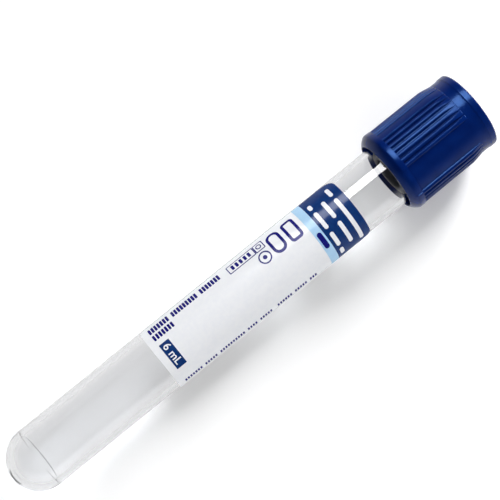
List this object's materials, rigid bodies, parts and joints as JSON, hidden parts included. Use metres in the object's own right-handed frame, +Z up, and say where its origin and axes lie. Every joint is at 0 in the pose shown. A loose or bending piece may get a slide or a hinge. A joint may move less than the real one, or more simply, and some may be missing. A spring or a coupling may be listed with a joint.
{
  "type": "blood collection tube",
  "caption": "Clear round-bottomed blood collection tube lying on its side, with a ribbed blue pull-off cap over a rubber stopper and a white wrapped label.",
  "frame": {"origin": "on the surface that the tube lies on, under the centre of its bounding box", "axes": "+X along the tube from the round end towards the cap, +Z up, +Y to the tube's left; the tube's axis rises 1.62 degrees towards the cap, because the cap's ring is wider than the round end"},
  "size_m": [0.1148, 0.0178, 0.0181],
  "materials": {
    "clear_plastic": "clear, glossy moulded polyester, faintly grey",
    "label_film": "glossy white self-adhesive label",
    "stopper_rubber": "dark grey moulded rubber",
    "cap_plastic": "royal blue moulded plastic with a satin sheen",
    "ink_navy": "navy printing ink on the label",
    "ink_pale_blue": "pale blue printing ink on the label",
    "ink_white": "unprinted label showing through the navy ink"
  },
  "bodies": {
    "tube_body": {"tube": "clear_plastic", "label": "label_film"},
    "closure": {"cap": "cap_plastic", "stopper": "stopper_rubber"}
  },
  "joints": [
    {"name": "closure_pull", "type": "slide", "parent": "tube_body", "child": "closure", "axis": [0.9996, 0, 0.0282], "range_m": [0, 0.014]}
  ]
}
